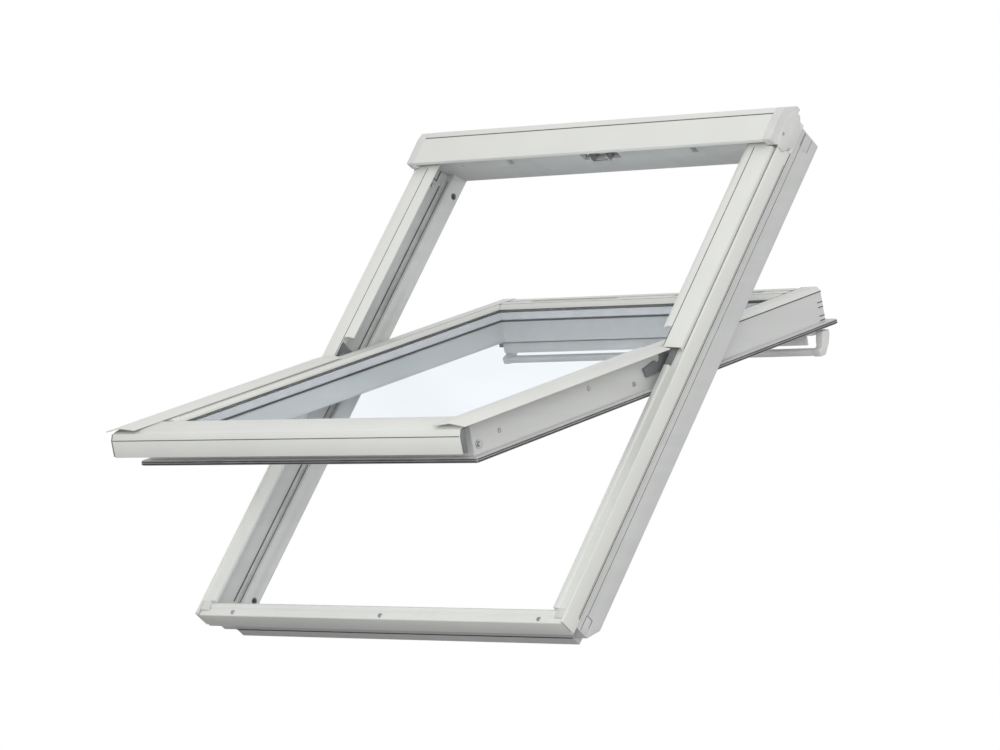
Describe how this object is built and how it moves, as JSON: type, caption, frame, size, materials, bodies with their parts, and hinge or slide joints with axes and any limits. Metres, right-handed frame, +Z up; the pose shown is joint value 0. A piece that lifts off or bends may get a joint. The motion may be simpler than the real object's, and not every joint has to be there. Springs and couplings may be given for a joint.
{
  "type": "roof window",
  "caption": "Centre-pivot roof window with a clad white frame, hood, double-glazed sash, control bar with vent flap and airing bolt, held open on a pitched roof.",
  "frame": {"origin": "middle of the bottom rail's room-side face", "axes": "+X across the window, +Z up, weather side towards -Y; the frame leans back at 55 degrees"},
  "size_m": [0.786, 0.9113, 0.8372],
  "materials": {
    "white_frame": "white satin coating over timber",
    "cladding": "light grey satin lacquer",
    "moulded_white": "light grey moulded plastic",
    "steel": "zinc plated",
    "grey_moulding": "grey moulded, matt",
    "seal": "matt black rubber",
    "glass": "clear, faint blue",
    "spacer": "grey"
  },
  "bodies": {
    "frame": {"jamb_left": "white_frame", "jamb_right": "white_frame", "top_rail": "white_frame", "bottom_rail": "white_frame", "side_cladding_left": "cladding", "side_cladding_right": "cladding", "bottom_cladding": "cladding", "bottom_cladding_screws": "steel", "upper_cover_left": "cladding", "upper_cover_right": "cladding", "hood": "cladding", "hood_cap_left": "moulded_white", "hood_cap_right": "moulded_white", "hood_screws": "steel", "corner_block_left": "moulded_white", "corner_block_right": "moulded_white", "frame_gasket": "seal", "keeper_plate": "steel", "keeper_screws": "steel", "pivot_housing_left": "grey_moulding", "pivot_housing_right": "grey_moulding", "pivot_housing_screws": "steel", "bolt_bushes": "grey_moulding"},
    "sash": {"stile_left": "white_frame", "stile_right": "white_frame", "sash_top_rail": "white_frame", "sash_bottom_rail": "white_frame", "outer_pane": "glass", "inner_pane": "glass", "pane_spacer": "spacer", "glazing_gasket": "seal", "glazing_bead_left": "cladding", "glazing_bead_right": "cladding", "glazing_bead_top": "cladding", "sash_gasket": "seal", "sash_bottom_cover": "cladding", "cover_plug_left": "grey_moulding", "cover_plug_right": "grey_moulding", "side_cover_left": "cladding", "side_cover_right": "cladding", "sash_side_screws": "steel", "sash_corner_washers": "steel", "pivot_arm_left": "grey_moulding", "pivot_arm_right": "grey_moulding", "pivot_pin_left": "steel", "pivot_pin_right": "steel", "friction_washer_left": "grey_moulding", "friction_washer_right": "grey_moulding", "latch_case": "steel", "bolt_plate": "grey_moulding", "bar_brackets": "grey_moulding"},
    "bar": {"control_bar": "moulded_white", "bar_cap_left": "moulded_white", "bar_cap_right": "moulded_white", "vent_flap": "moulded_white"},
    "latch": {"latch": "steel"},
    "airing_bolt": {"barrel_bolt": "steel"}
  },
  "joints": [
    {"name": "sash_turn", "type": "hinge", "parent": "frame", "child": "sash", "pos_m": [0, 0.207, 0.42638], "axis": [-1, 0, 0], "range_deg": [-40, 80]},
    {"name": "bar_turn", "type": "hinge", "parent": "sash", "child": "bar", "pos_m": [0, 0.59563, 0.46736], "axis": [1, 0, 0], "range_deg": [0, 40]},
    {"name": "latch_turn", "type": "hinge", "parent": "sash", "child": "latch", "pos_m": [0, 0.57277, 0.51404], "axis": [1, 0, 0], "range_deg": [0, 14]},
    {"name": "bolt_slide", "type": "slide", "parent": "sash", "child": "airing_bolt", "axis": [-1, 0, 0], "range_m": [0, 0.009]}
  ],
  "couplings": [
    {"joint": "latch_turn", "follows": "bar_turn", "ratio": 0.35}
  ]
}
